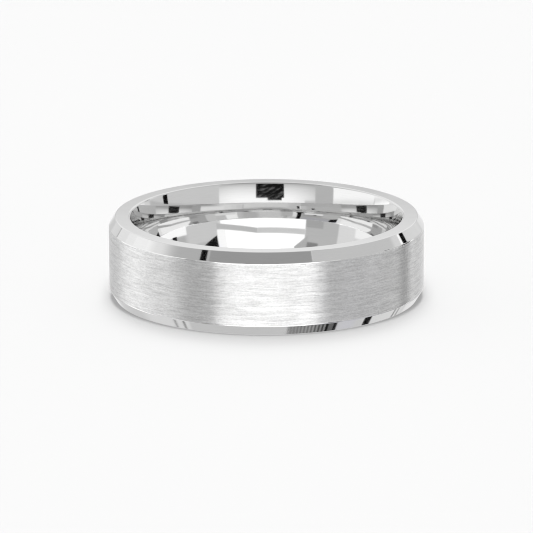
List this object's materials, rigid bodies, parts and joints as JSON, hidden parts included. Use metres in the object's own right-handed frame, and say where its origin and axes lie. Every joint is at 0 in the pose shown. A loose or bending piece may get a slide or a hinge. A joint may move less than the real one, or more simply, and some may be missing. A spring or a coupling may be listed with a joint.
{
  "type": "wedding band",
  "caption": "Plain finger ring with a satin flat outer face, polished bevelled shoulders, polished side faces and a polished comfort-fit bore.",
  "frame": {"origin": "centre of the plane that the lower side face rests on, on the axis of the finger hole", "axes": "+Z along the axis of the finger hole, from the lower side face to the upper; the band is round, so +X and +Y are any two directions across it"},
  "size_m": [0.0228, 0.0228, 0.006],
  "materials": {
    "white_metal": "satin"
  },
  "bodies": {
    "root": {"band": "white_metal"}
  },
  "joints": []
}
